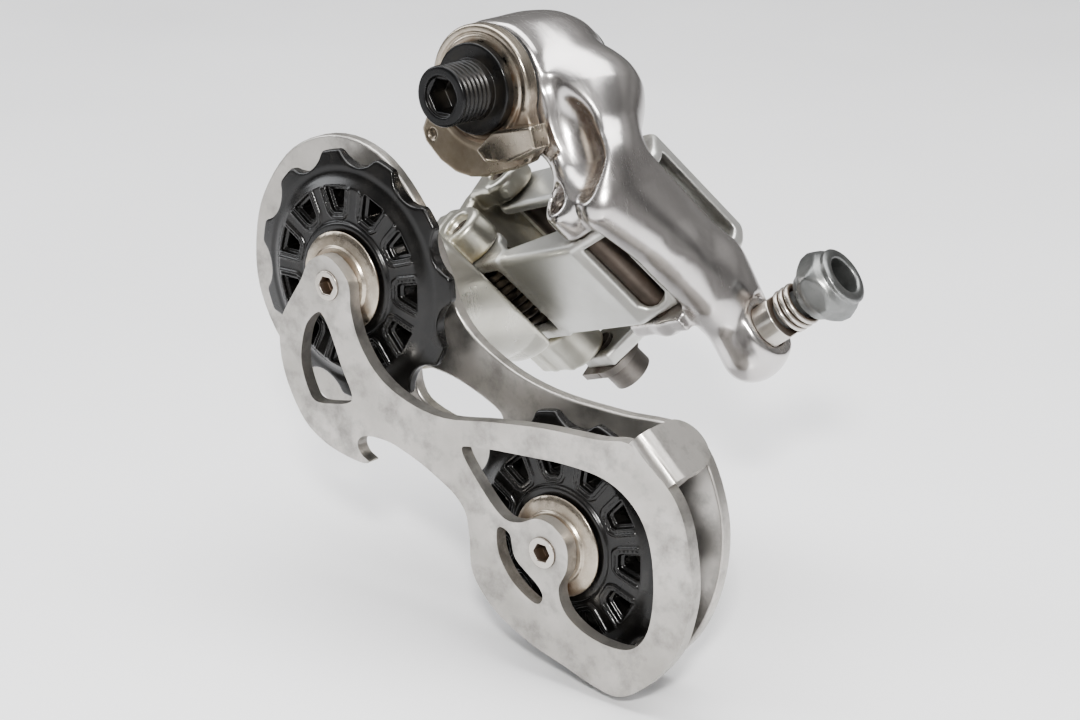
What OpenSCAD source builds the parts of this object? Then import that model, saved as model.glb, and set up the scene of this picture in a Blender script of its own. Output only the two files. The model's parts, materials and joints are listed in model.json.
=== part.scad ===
// Rear bicycle derailleur: short cage, slant parallelogram, two eleven-tooth pulleys.
// The origin is on the hanger bolt's axis, on the face that seats against the frame's hanger.
// +X points to the bicycle's rear, +Y outboard, away from the wheel, and +Z up.

/* [Hanger bolt] */
// Radius of the hanger bolt's thread
hanger_thread_r = 5; // [4.5:0.25:5]
// Length of the threaded end, inboard of the seat
hanger_thread_l = 7.5; // [6:0.5:10]
// Radius of the bolt's collar
hanger_collar_r = 7.2; // [6.8:0.1:7.6]
// Radius of the bolt's shank inside the knuckle
hanger_shank_r = 4.5; // [4:0.25:5]

/* [Stop plate] */
// Radius of the round part of the stop plate
stop_r = 10.2; // [9.5:0.1:10.6]
// Thickness of the stop plate
stop_t = 2.6; // [2:0.1:3]

/* [Knuckles] */
// Outer radius of the upper knuckle's barrel
upper_barrel_r = 10.4; // [10.3:0.05:10.6]
// Outboard end of the upper knuckle's barrel
upper_barrel_y = 27; // [26:0.5:28]
// Radius of the lower knuckle's rim
lower_rim_r = 14.5; // [14:0.1:15]

/* [Parallelogram] */
// Compass angle of the pivot pins, turned from +X towards +Y, in degrees
pin_turn = 54; // [50:1:58]
// Dip of the pivot pins below the horizontal, in degrees
pin_dip = 47; // [43:1:50]
// Turn of the links about their pins, in degrees
link_turn = 61; // [58:1:64]
// Distance between the upper and the lower pins
link_l = 30.5; // [29:0.25:32]
// Distance between the inner and the outer pins
link_gap = 14; // [13.5:0.1:14.5]
// Radius of the pivot pins
pin_r = 2; // [1.8:0.05:2.2]

/* [Cage] */
// Distance between the two pulley axes along X
pulley_dx = 44.6; // [44:0.2:46]
// Drop from the upper to the lower pulley axis
pulley_drop = 34.1; // [33:0.1:35]
// Distance of the pulleys' middle plane inboard of the hanger seat
pulley_inboard = 15.6; // [15:0.1:16]
// Clear gap between the cage plates
cage_gap = 9.4; // [9:0.1:10]
// Thickness of the cage plates
plate_t = 2.2; // [1.8:0.1:2.4]

/* [Pulleys] */
// Teeth on each pulley
pulley_teeth = 11; // [10:1:12]
// Radius over the tooth tips
pulley_tip_r = 20.9; // [20.5:0.1:21]
// Radius at the tooth roots
pulley_root_r = 18.6; // [18.2:0.1:18.8]
// Thickness of a tooth
tooth_t = 2.3; // [2:0.1:2.4]

/* [Hidden] */
$fn = 96;
fit = 0.05;
gap = 0.3;
cut = 1;

// Colours
polished = "#d2d2d4";
satin = "#b4b4b2";
nickel = "#9c9488";
black_steel = "#1c1c1e";
zinc = "#7d8486";
black_plastic = "#222224";
rubber = "#151515";
dark_bush = "#3a3a38";

// Upper pivot frame: x runs along the links, y outboard across them, z down the pins
upper_pivot = [15.6, 4, -17.4];
outer_pin_x = link_gap * cos(84);
outer_pin_y = link_gap * sin(84);
lug_top = 5.2;
lug_bottom = 25.1;
outer_lug_top = 4.8;
outer_lug_bottom = 28.8;
upper_pin_end = 31;
inner_pin_end = 29;
lower_pin_end = 33;
upper_lug_r = 3.4;
lug_r = 4.3;
link_r = 4.1;
link_end_r = 5.5;
outer_end_r = 6;

// Cable adjuster, limit screws and cable anchor
adjuster_seat = [41, 25.8, -37.6];
screw_heights = [9.5, 14.5];
screw_y = outer_pin_y - 7.6;
screw_r = 1.5;
anchor = [27.5, -11.2, 35];
anchor_r = 2;

// Cage places
upper_pulley_at = [-11.4, -pulley_inboard, -29.7];
lower_pulley_at = upper_pulley_at + [pulley_dx, 0, -pulley_drop];
cage_pivot = [-8, 0, -37];
bell_y = 17;
inner_plate_y = -pulley_inboard - cage_gap / 2;
outer_plate_y = -pulley_inboard + cage_gap / 2;
bolt_r = 2.5;
bushing_r = 4.9;
cap_r = 8.2;

// Stand children on the inner upper pin's frame, or on the inner lower pin's frame
module at_upper_pins() {
    translate(upper_pivot)
        rotate([0, 90 + pin_dip, pin_turn])
            rotate([0, 0, link_turn])
                children();
}
module at_lower_pins() {
    at_upper_pins() translate([link_l, 0, 0]) children();
}
// A cylinder along +Y from y0 to y1
module along_y(r, y0, y1) {
    translate([0, y1, 0]) rotate([90, 0, 0]) cylinder(r = r, h = y1 - y0);
}
// A flat shape drawn in X and Z, filled from y0 to y1
module slab_y(y0, y1) {
    translate([0, y1, 0]) rotate([90, 0, 0]) linear_extrude(y1 - y0) children();
}
// A profile of radius against y, turned about the Y axis
module turned_y(profile) {
    rotate([-90, 0, 0]) rotate_extrude() polygon(profile);
}
// A bar with round ends from [0, 0] to the point p
module stadium(p, r) {
    length = norm(p);
    circle(r);
    translate(p) circle(r);
    rotate(atan2(p[1], p[0])) translate([0, -r]) square([length, 2 * r]);
}

// Closed smooth outline through hand-placed points, n short edges to each span
function spline_at(a, b, c, d, t) =
    0.5 * ((2 * b) + (c - a) * t + (2 * a - 5 * b + 4 * c - d) * t * t + (3 * b - a - 3 * c + d) * t * t * t);
function smooth(p, n = 5) = [
    for (i = [0:len(p) - 1])
        for (k = [0:n - 1])
            spline_at(p[(i + len(p) - 1) % len(p)], p[i], p[(i + 1) % len(p)], p[(i + 2) % len(p)], k / n)
];

// A helical spring along +Z, as one closed tube
module coil(r, wire_r, pitch, turns, steps = 18, sides = 8) {
    rings = round(turns * steps);
    points = [
        for (i = [0:rings])
            for (s = [0:sides - 1])
                let (a = 360 * i / steps, q = 360 * s / sides, rr = r + wire_r * cos(q))
                    [rr * cos(a), rr * sin(a), pitch * i / steps + wire_r * sin(q)]
    ];
    walls = [
        for (i = [0:rings - 1])
            for (s = [0:sides - 1])
                let (a = i * sides + s, b = i * sides + (s + 1) % sides)
                    [a, a + sides, b + sides, b]
    ];
    first = [[for (s = [0:sides - 1]) s]];
    last = [[for (s = [sides - 1:-1:0]) rings * sides + s]];
    polyhedron(points, concat(walls, first, last));
}

// ---- Hanger side ----
module hanger_bolt() {
    head_y = upper_barrel_y - 2.2;
    socket_r = 2.6;
    color(black_steel) difference() {
        union() {
            turned_y([[0, -hanger_thread_l], [hanger_thread_r - 0.6, -hanger_thread_l],
                      [hanger_thread_r, 0.6 - hanger_thread_l], [hanger_thread_r, 1], [0, 1]]);
            along_y(hanger_collar_r, 0, 1.8);
            along_y(hanger_shank_r, 1.5, head_y);
            along_y(6.4, head_y - 0.1, head_y + 3.4);
        }
        translate([0, 4.5 - hanger_thread_l, 0]) rotate([90, 0, 0]) cylinder(r = socket_r, h = 6, $fn = 6);
        translate([0, head_y + 4, 0]) rotate([90, 0, 0]) cylinder(r = 3.4, h = 3.4, $fn = 6);
    }
}
module stop_plate() {
    color(nickel) difference() {
        union() {
            along_y(stop_r, 1.9, 1.9 + stop_t);
            slab_y(1.9, 1.9 + stop_t) polygon(smooth([
                [0, 0], [-9.9, -2], [-12.7, -8.6], [-12, -10.6], [-8.8, -13.4], [-5.4, -14.9], [-2.2, -15.2],
                [1, -14.7], [4.2, -13.6], [7.4, -12.4], [10.4, -10.8], [12, -8.4], [9.8, -2.4]
            ], 4));
            // Raised tab that rests on the frame's hanger
            slab_y(-1.8, 2.2) polygon([
                [2.2, -9.3], [5.8, -5.8], [13.6, -3.8], [14.6, -7.3], [8.9, -10.4], [4, -11]
            ]);
        }
        along_y(hanger_shank_r + gap, 0, 8);
        along_y(hanger_collar_r + 0.1, -3, 1.9);
        translate([-10.4, 0, -9.2]) along_y(0.9, 1, 2.6);
    }
}

// ---- Upper knuckle ----
module upper_knuckle() {
    spring_room_r = 9.2;
    room_h = outer_lug_bottom - outer_lug_top;
    color(polished) difference() {
        union() {
            turned_y([[0, 5.1], [upper_barrel_r - 0.3, 5.1], [upper_barrel_r, 6], [upper_barrel_r, 12], [10.2, 16],
                      [9.6, 20], [8.7, 23.6], [7.4, 26], [5.4, upper_barrel_y], [0, upper_barrel_y]]);
            at_upper_pins() {
                // Shoulder, from the barrel down to the arm
                hull() {
                    translate([2, 18, -5.4]) sphere(8, $fn = 32);
                    translate([4.8, 15.6, -9]) sphere(9.4, $fn = 32);
                    translate([-4, 9, -1]) sphere(5, $fn = 32);
                }
                // Arm beside the links, with a wide flat back
                hull() {
                    translate([-5, 7, -1]) sphere(4.6, $fn = 32);
                    translate([-4.4, 10.6, 0]) sphere(4.6, $fn = 32);
                    translate([-5, 7, 29]) sphere(4.6, $fn = 32);
                    translate([-4.4, 10.2, 24]) sphere(4.6, $fn = 32);
                }
                hull() {
                    translate([-7.4, 2.3, 4]) sphere(3.2, $fn = 32);
                    translate([-7.5, 4.9, 25]) sphere(3.2, $fn = 32);
                }
                // Arm end that holds the cable adjuster
                hull() {
                    translate([-5, 7.6, 27]) sphere(4.8, $fn = 32);
                    translate([-8.6, 0.8, 38.8]) sphere(4.9, $fn = 32);
                    translate([-8.4, 3.4, 39.6]) sphere(4.9, $fn = 32);
                }
                // Web from the barrel to the inner pin's top lug
                hull() {
                    translate([4.6, 6.4, -7.2]) sphere(4.3, $fn = 32);
                    translate([0, 0.3, 3]) cylinder(r = 2.8, h = 2, $fn = 32);
                }
                translate([0, 0, -0.6]) cylinder(r = upper_lug_r, h = lug_top + 0.6);
                translate([outer_pin_x, outer_pin_y, -3]) cylinder(r = lug_r, h = outer_lug_top + 3);
                linear_extrude(outer_lug_top) polygon([[-upper_lug_r, 0], [upper_lug_r, 0], [2.5, 8], [-5, 8]]);
                translate([0, 0, -3]) linear_extrude(outer_lug_top + 3) polygon([
                    [-6, 6], [4.5, 6], [outer_pin_x + lug_r, outer_pin_y], [outer_pin_x - lug_r, outer_pin_y]
                ]);
                translate([0, 0, lug_bottom]) cylinder(r = upper_lug_r, h = inner_pin_end - lug_bottom);
                translate([outer_pin_x, outer_pin_y, outer_lug_bottom])
                    cylinder(r = lug_r, h = upper_pin_end - outer_lug_bottom);
                translate([0, 0, lug_bottom]) linear_extrude(inner_pin_end - lug_bottom) polygon([
                    [-6, -3], [7.2, -3], [7.4, 0.6], [3, 6], [-6, 6]
                ]);
                translate([0, 0, outer_lug_bottom]) linear_extrude(upper_pin_end - outer_lug_bottom) polygon([
                    [-6, 5], [2, 5], [outer_pin_x + lug_r, outer_pin_y], [outer_pin_x - lug_r, outer_pin_y]
                ]);
            }
            translate(adjuster_seat) adjuster_axis() translate([0, 0, -5]) cylinder(r = 5.2, h = 5.6);
        }
        // Concave channel from the barrel's face down to the inner pin
        hull() {
            translate([12.6, 4.9, 1]) sphere(2, $fn = 32);
            translate([17.6, 3.4, -5.2]) sphere(4, $fn = 32);
            translate([20.4, 1.7, -10]) sphere(3, $fn = 32);
            translate([22, 0.5, -13.4]) sphere(1.7, $fn = 32);
        }
        along_y(16.6, -5, 4.9);
        along_y(hanger_shank_r + 1.5, 0, 40);
        along_y(spring_room_r, 0, 15);
        along_y(6.9, upper_barrel_y - 2.5, 40);
        at_upper_pins() {
            translate([0, 0, -0.5]) cylinder(r = pin_r + fit / 2, h = 60);
            translate([outer_pin_x, outer_pin_y, -2]) cylinder(r = pin_r + fit / 2, h = 60);
            translate([0, 0, lug_top]) cylinder(r = link_end_r + 0.4, h = lug_bottom - lug_top);
            // Room for the outer link's loop, through its whole swing
            translate([0, 0, outer_lug_top]) linear_extrude(room_h) {
                for (p = [[-1.5, 1], [-0.7, 1.7], [0.2, 1.8]])
                    translate([outer_pin_x + p[0], outer_pin_y + p[1]]) circle(outer_end_r + 0.4);
                polygon([
                    [outer_pin_x, outer_pin_y + 16], [outer_pin_x, outer_pin_y - 5], [20, -10], [30, 0], [30, 30]
                ]);
            }
        }
        translate(adjuster_seat) adjuster_axis() {
            cylinder(r = 6.9, h = 16);
            translate([0, 0, -4.05]) cylinder(r = 3.6, h = 10);
            translate([0, 0, -20]) cylinder(r = 1.2, h = 30);
        }
    }
}
// Stand children on the cable adjuster's axis, +Z pointing out of it
module adjuster_axis() {
    rotate([0, 0, 11]) rotate([0, 51, 0]) children();
}
module upper_bushing() {
    color(dark_bush) difference() {
        union() {
            along_y(hanger_shank_r + 1.45, 4.9, upper_barrel_y - 2.5);
            along_y(8.8, 4.6, 5.6);
        }
        along_y(hanger_shank_r + fit, 0, 40);
    }
}
module upper_spring() {
    color(black_steel) translate([0, 6.7, 0]) rotate([-90, 0, 0]) coil(7.6, 0.95, 2.2, 3.2);
}
module upper_seal() {
    color(rubber) difference() {
        along_y(10, 4.5, 4.9);
        along_y(9, 4, 6);
    }
}
module pivot_pin(z0, z1) {
    color(nickel) difference() {
        translate([0, 0, z0]) cylinder(r = pin_r, h = z1 - z0);
        translate([0, 0, z0 - 0.4]) cylinder(r = 0.9, h = 1);
    }
}
module upper_inner_pin() {
    at_upper_pins() pivot_pin(0, inner_pin_end);
}
module upper_outer_pin() {
    at_upper_pins() translate([outer_pin_x, outer_pin_y, 0]) pivot_pin(-2, upper_pin_end);
}
module adjuster_sleeve() {
    color(polished) translate(adjuster_seat) adjuster_axis() difference() {
        union() {
            translate([0, 0, -4]) cylinder(r = 3.55, h = 6);
            intersection() {
                cylinder(r = 4.3, h = 3.4);
                translate([-3.6, -5, 0]) cube([7.2, 10, 5]);
            }
        }
        translate([0, 0, -5]) cylinder(r = 2.55, h = 12);
    }
}
module adjuster_spring() {
    color(nickel) translate(adjuster_seat) adjuster_axis()
        translate([0, 0, 4]) coil(3.4, 0.5, 1.15, 3.4);
}
module adjuster_barrel() {
    head_z = 8.6;
    head_l = 8;
    color(zinc) translate(adjuster_seat) adjuster_axis() difference() {
        union() {
            translate([0, 0, -3]) cylinder(r = 2.5, h = head_z + 4);
            translate([0, 0, head_z]) intersection() {
                cylinder(r = 6, h = head_l, $fn = 6);
                rotate_extrude() polygon([[0, 0], [4.2, 0], [6.1, 2.3], [6.1, 4.6], [4.1, head_l], [0, head_l]]);
            }
        }
        translate([0, 0, -4]) cylinder(r = 1, h = 30);
        translate([0, 0, head_z + 0.6]) cylinder(r = 2.6, h = 10);
    }
}

// ---- Parallelogram ----
module inner_link() {
    z0 = lug_top + gap;
    z1 = lug_bottom - gap;
    fork = 2.2;
    color(satin) at_upper_pins() difference() {
        union() {
            translate([0, 0, z0]) linear_extrude(z1 - z0) polygon([
                [link_l - 6.5, -4.1], [link_l - 6.5, -0.9], [4, 2.6], [-2.6, 3.6],
                [-4.2, 2.2], [-5.4, -0.3], [1.8, -4.3]
            ]);
            for (z = [z0, z1 - fork])
                translate([0, 0, z]) linear_extrude(fork) {
                    translate([link_l, 0]) circle(link_r);
                    polygon([[link_l - 8, -4.1], [link_l, -link_r], [link_l, link_r], [link_l - 8, -1]]);
                }
        }
        cylinder(r = pin_r + fit, h = 60);
        translate([link_l, 0, 0]) cylinder(r = pin_r + fit, h = 60);
        // Window in the slanted end face, with the pin showing inside
        translate([-1.8, -2.3, z0 + 2]) rotate(-29) translate([-3, -3, 0]) cube([5.8, 7, z1 - z0 - 4.2]);
    }
}
module outer_link() {
    z0 = outer_lug_top + gap;
    z1 = outer_lug_bottom - gap;
    wall = 1.9;
    outer_r = 4.5;
    color(satin) at_upper_pins() translate([outer_pin_x, outer_pin_y, 0]) difference() {
        union() {
            for (z = [z0, z1 - wall])
                translate([0, 0, z]) linear_extrude(wall) {
                    stadium([link_l, 0], outer_r);
                    translate([-1.5, 1]) circle(outer_end_r);
                }
            translate([0, 0, z0]) linear_extrude(z1 - z0) difference() {
                union() {
                    stadium([link_l, 0], outer_r);
                    translate([-1.5, 1]) circle(outer_end_r);
                }
                stadium([link_l, 0], outer_r - wall);
                translate([-1.5, 1]) circle(outer_end_r - wall);
                translate([-10, -10]) square([link_l + 20, 9.4]);
            }
            // Foot that carries the cable anchor past the lower knuckle's lugs
            translate([18, -4, z1 - 0.4]) cube([6, 3, anchor[2] - z1 + 1]);
            translate([0, 0, anchor[2] - 1.2]) linear_extrude(2.8) polygon([
                [18, -1], [24, -1], [31.5, -8], [31.5, -14.6], [24, -14.6], [18, -4]
            ]);
        }
        cylinder(r = pin_r + fit, h = 60);
        translate([link_l, 0, 0]) cylinder(r = pin_r + fit, h = 32);
        translate([-9, -0.8, z0 + 2.2]) cube([6, 4.6, z1 - z0 - 4.8]);
        translate([anchor[0], anchor[1], 30]) cylinder(r = anchor_r + fit, h = 10);
    }
}
module at_cable_anchor() {
    at_upper_pins() translate([outer_pin_x, outer_pin_y, 0]) translate(anchor) children();
}
module cable_clamp_washer() {
    color(nickel) at_cable_anchor() translate([0, 0, 1.6]) difference() {
        linear_extrude(1.4) {
            circle(4.6);
            translate([1, -4.6]) square([4.6, 5]);
        }
        translate([0, 0, -1]) cylinder(r = anchor_r + fit, h = 5);
    }
}
module cable_anchor_bolt() {
    color(nickel) at_cable_anchor() difference() {
        union() {
            translate([0, 0, -1.8]) cylinder(r = anchor_r, h = 6);
            translate([0, 0, 3]) cylinder(r = 3.8, h = 4);
        }
        translate([0, 0, 5]) cylinder(r = 2.3, h = 4, $fn = 6);
    }
}
module return_spring() {
    color(black_steel) at_lower_pins() translate([0, 0, lug_top + 3.7]) coil(3, 0.7, 1.55, 8);
}

// ---- Lower knuckle ----
module lower_knuckle() {
    back_x = 4.9;
    color(polished) difference() {
        union() {
            difference() {
                union() {
                    translate(cage_pivot) turned_y([
                        [0, -7.6], [9, -7.6], [10, -6.8], [10.8, -2], [11.8, 5], [13.2, 11.6],
                        [lower_rim_r, bell_y - 1.8], [lower_rim_r, bell_y - 0.4],
                        [lower_rim_r - 1, bell_y + 0.4], [0, bell_y + 0.4]
                    ]);
                    at_lower_pins() hull() {
                        translate([3, -13, 6]) sphere(6, $fn = 32);
                        translate([9, 3, 10]) sphere(3.5, $fn = 32);
                        translate([9, 0, 26]) sphere(3.5, $fn = 32);
                    }
                }
                // Slot for the links and the return spring, open towards the upper knuckle
                at_lower_pins() translate([0, 0, -20]) linear_extrude(80)
                    polygon([[-40, -23.3], [-1, -4], [0, -4.6], [back_x, -4.6], [back_x, 30], [-40, 30]]);
            }
            at_lower_pins() {
                // Back plate behind both pins
                translate([0, 0, 1.5]) linear_extrude(lower_pin_end - 1.5) polygon([
                    [back_x, -4.3], [back_x + 4, -4.3], [back_x + 5.5, outer_pin_y - 4],
                    [back_x + 3.5, outer_pin_y + 4.3], [outer_pin_x + 5.1, outer_pin_y + 4.3],
                    [outer_pin_x + 5.1, outer_pin_y - 4.3]
                ]);
                translate([back_x, -4.3, -1]) cube([4, 8, 6]);
                for (z = [[-1, lug_top], [lug_bottom, lower_pin_end]])
                    translate([0, 0, z[0]]) linear_extrude(z[1] - z[0]) {
                        circle(lug_r);
                        translate([0, -lug_r]) square([back_x + 1, 2 * lug_r]);
                    }
                for (z = [[0.5, outer_lug_top], [outer_lug_bottom, lower_pin_end]])
                    translate([outer_pin_x, outer_pin_y, z[0]]) linear_extrude(z[1] - z[0]) {
                        circle(lug_r);
                        translate([0, -lug_r]) square([6, 2 * lug_r]);
                    }
            }
        }
        translate(cage_pivot) {
            along_y(5.55, -9, 7);
            along_y(8.3, -9, 3);
        }
        at_lower_pins() {
            translate([0, 0, -0.5]) cylinder(r = pin_r + fit / 2, h = 60);
            translate([outer_pin_x, outer_pin_y, -2]) cylinder(r = pin_r + fit / 2, h = 60);
            translate([0, 0, lug_top]) cylinder(r = link_r + 0.5, h = lug_bottom - lug_top);
            translate([outer_pin_x, outer_pin_y, outer_lug_top]) cylinder(r = 4.9, h = outer_lug_bottom - outer_lug_top);
            for (z = screw_heights)
                translate([20, screw_y, z]) rotate([0, -90, 0]) {
                    cylinder(r = screw_r + fit / 2, h = 30);
                    cylinder(r = 2.6, h = 8.8);
                }
        }
    }
}
module limit_screws() {
    color(nickel) at_lower_pins() for (z = screw_heights)
        translate([0, screw_y, z]) rotate([0, 90, 0]) difference() {
            union() {
                translate([0, 0, 5.6]) cylinder(r = screw_r, h = 7);
                translate([0, 0, 11.4]) cylinder(r = 2.3, h = 1.6);
            }
            translate([-3, -0.3, 12.2]) cube([6, 0.6, 2]);
        }
}
module lower_inner_pin() {
    at_lower_pins() pivot_pin(0, lower_pin_end);
}
module lower_outer_pin() {
    at_lower_pins() translate([outer_pin_x, outer_pin_y, 0]) pivot_pin(1, lower_pin_end);
}
module cage_spring() {
    color(black_steel) translate(cage_pivot) translate([0, -6.2, 0]) rotate([-90, 0, 0]) coil(6.95, 0.9, 2.3, 3.6);
}
module lower_seal() {
    color(rubber) translate(cage_pivot) difference() {
        along_y(8.6, -8.2, -7.6);
        along_y(7.4, -9, -7);
    }
}
module cage_bushing() {
    color(dark_bush) translate(cage_pivot) difference() {
        along_y(5.5, -8.2, 6.8);
        along_y(4 + fit, -9, 9);
    }
}

// ---- Cage ----
module cage_pivot_bolt() {
    color(black_steel) translate(cage_pivot) difference() {
        union() {
            along_y(4, outer_plate_y + 0.1, 6.6);
            along_y(5, outer_plate_y + plate_t, outer_plate_y + plate_t + 0.4);
        }
        along_y(2, outer_plate_y - 2, outer_plate_y + 3);
    }
}
module outer_outline() {
    polygon(smooth([
        [-28.4, -0.8], [-26, 8.6], [-18.6, 17.6], [-8, 21.3], [2.6, 18.6], [11.6, 9], [17.8, -4.2], [26, -10],
        [36.5, -12.9], [50, -13.4], [60, -13], [65.8, -16], [69.4, -24], [70, -32], [68, -40.8], [63.8, -48.3],
        [56.8, -54], [47.5, -54.6], [37, -49.4], [28.5, -40.6], [24, -31.5], [14, -28.6], [3.5, -28.8],
        [-10, -26.4], [-21.5, -18.6], [-27.4, -9.6]
    ]));
}
module outer_cage_plate() {
    color(satin) translate([upper_pulley_at[0], 0, upper_pulley_at[2]]) difference() {
        union() {
            slab_y(outer_plate_y, outer_plate_y + plate_t) outer_outline();
            translate([pulley_dx, 0, -pulley_drop]) along_y(4.6, outer_plate_y, outer_plate_y + plate_t + 1);
        }
        slab_y(outer_plate_y - 2, outer_plate_y + plate_t + 2) polygon(smooth([
            [8, -16.2], [9.6, -14.6], [16, -15], [23, -17.2], [26.6, -19.4], [25.4, -22.4], [18, -22.6], [10, -20.4]
        ]));
        for (p = [[0, 0], [pulley_dx, -pulley_drop]])
            translate([p[0], 0, p[1]]) along_y(bolt_r + 0.02, -30, 0);
        translate([cage_pivot[0] - upper_pulley_at[0], 0, cage_pivot[2] - upper_pulley_at[2]]) along_y(4.02, -30, 0);
    }
}
module inner_outline() {
    polygon(smooth([
        [0.3, 4.9], [-3.8, 3.4], [-5.8, 0], [-8.4, -3.8], [-10.8, -8], [-11.1, -13.2], [-9.6, -18.6],
        [-6, -24.2], [-1.5, -27], [3, -28.2], [6.8, -28.6], [8.4, -28.1], [6.9, -27.3], [6, -26.1], [6.1, -24.9],
        [7.4, -23.9], [9.8, -23.5], [13.1, -23.6], [16.2, -24.4], [19.8, -25.6], [23.7, -27.4], [26.8, -29.1],
        [29, -31.6], [29.8, -35.6], [30.4, -41.4], [34.8, -46.4], [42, -50], [49.4, -52], [54.4, -53.4],
        [59.6, -53.8], [64.8, -50.4], [70, -44], [72.2, -37.6], [72.8, -31.6], [71.6, -23.8], [69.2, -18.8],
        [65, -15.2], [60.8, -12.4], [55, -13.2], [45, -13.8], [34.5, -15.2], [24.6, -16.8], [17, -15.8],
        [11, -13], [7, -8.4], [5.2, -3.4], [4.6, 1.6]
    ], 4));
}
module inner_cage_plate() {
    y0 = inner_plate_y - plate_t;
    color(satin) translate([upper_pulley_at[0], 0, upper_pulley_at[2]]) difference() {
        union() {
            slab_y(y0, inner_plate_y) inner_outline();
            // Chain tab, bent round a fold across the top rear corner
            translate([66.2, y0, -13.2]) rotate([0, 43, 0]) {
                translate([-4.4, 2.6, -2.6]) rotate([0, 90, 0]) cylinder(r = 2.6, h = 8.8);
                translate([-4.4, 2.6, -1.9]) cube([8.8, 4.4, 1.9]);
                translate([-4.4, 0.02, -5]) cube([8.8, 2.1, 2.4]);
                translate([0, 6.8, -1.9]) cylinder(r = 4.38, h = 1.88);
            }
        }
        slab_y(y0 - cut, inner_plate_y + cut) {
            polygon(smooth([
                [-2, -4.8], [-4.6, -7], [-5.9, -10.3], [-6.3, -14.4], [-4.9, -18.6], [-3.2, -20.3],
                [0.6, -19.9], [4.2, -18.9], [4.9, -17.3], [2.8, -13.2], [1.2, -9.4], [-0.4, -6.2]
            ]));
            polygon(smooth([
                [28.4, -21.4], [30.6, -20.2], [40, -19.2], [50, -18.6], [57.4, -19.4], [62.6, -22.8], [65.2, -28.2],
                [65.8, -36], [64.4, -42.4], [60.8, -45.6], [54.4, -45.6], [49.4, -43.2], [47.8, -39.4],
                [49.4, -35.6], [49.2, -31.6], [46.6, -29.2], [43.4, -28.8], [39.8, -30.4], [36.4, -30.2], [32, -26.2]
            ]));
            polygon(smooth([
                [35.6, -32.4], [38, -32.8], [39.2, -36.6], [43.6, -39.8],
                [44.6, -41.8], [43, -43], [38.6, -40.6], [35.8, -36.6]
            ]));
        }
        for (p = [[0, 0], [pulley_dx, -pulley_drop]])
            translate([p[0], 0, p[1]]) along_y(bolt_r + 0.02, -30, 0);
    }
}
module pulley_bolt(at) {
    color(nickel) translate([at[0], 0, at[2]]) difference() {
        along_y(bolt_r, inner_plate_y - plate_t - 0.3, outer_plate_y + plate_t - 0.2);
        translate([0, inner_plate_y - 0.4, 0]) rotate([90, 0, 0]) cylinder(r = 1.6, h = 4, $fn = 6);
    }
}
module pulley_bushing(at) {
    color(nickel) translate([at[0], at[1], at[2]]) difference() {
        along_y(bushing_r, -3.7, 3.7);
        along_y(bolt_r + 0.02, -5, 5);
    }
}
module dust_caps(at) {
    color(nickel) translate(at) for (side = [0, 180])
        rotate([side, 0, 0]) turned_y([[bolt_r + 0.02, 3.75], [5.1, 3.75], [5.3, 3.35], [7.9, 3.15], [cap_r, 3.3],
                                       [cap_r, 3.6], [7.4, 4], [6, 4.2], [5.7, 4.65], [bolt_r + 0.02, 4.65]]);
}
module tooth_cutter() {
    step = 360 / pulley_teeth;
    for (i = [0:pulley_teeth - 1])
        rotate(i * step + 21)
            translate([pulley_root_r + 5, 0])
                circle(5);
}
module pulley(at) {
    step = 360 / pulley_teeth;
    color(black_plastic) translate(at) difference() {
        union() {
            slab_y(-tooth_t / 2, tooth_t / 2) difference() {
                circle(pulley_tip_r);
                tooth_cutter();
            }
            turned_y([[0, -2.3], [15.2, -2.3], [17.2, -tooth_t / 2], [17.2, tooth_t / 2], [15.2, 2.3], [0, 2.3]]);
            along_y(9.4, -2.9, 2.9);
        }
        along_y(bushing_r + fit, -5, 5);
        for (side = [-1, 1])
            along_y(8.5, side * 3.9 - 1, side * 3.9 + 1);
        for (i = [0:pulley_teeth - 1])
            rotate([0, i * step, 0]) translate([11.4, -5, -1.5]) cube([3.4, 10, 3]);
    }
}

hanger_bolt();
stop_plate();
upper_knuckle();
upper_bushing();
upper_spring();
upper_seal();
upper_inner_pin();
upper_outer_pin();
adjuster_sleeve();
adjuster_spring();
adjuster_barrel();
inner_link();
outer_link();
cable_anchor_bolt();
cable_clamp_washer();
return_spring();
lower_knuckle();
lower_inner_pin();
lower_outer_pin();
limit_screws();
cage_spring();
lower_seal();
cage_bushing();
outer_cage_plate();
cage_pivot_bolt();
inner_cage_plate();
pulley_bolt(upper_pulley_at);  // upper_pulley_bolt
pulley_bolt(lower_pulley_at);  // lower_pulley_bolt
pulley_bushing(upper_pulley_at);  // upper_pulley_bushing
pulley_bushing(lower_pulley_at);  // lower_pulley_bushing
dust_caps(upper_pulley_at);  // upper_dust_caps
dust_caps(lower_pulley_at);  // lower_dust_caps
pulley(upper_pulley_at);  // upper_pulley
pulley(lower_pulley_at);  // lower_pulley
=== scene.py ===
import json
import math
import bmesh
import bpy
import numpy as np
from mathutils import Matrix, Vector


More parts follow.
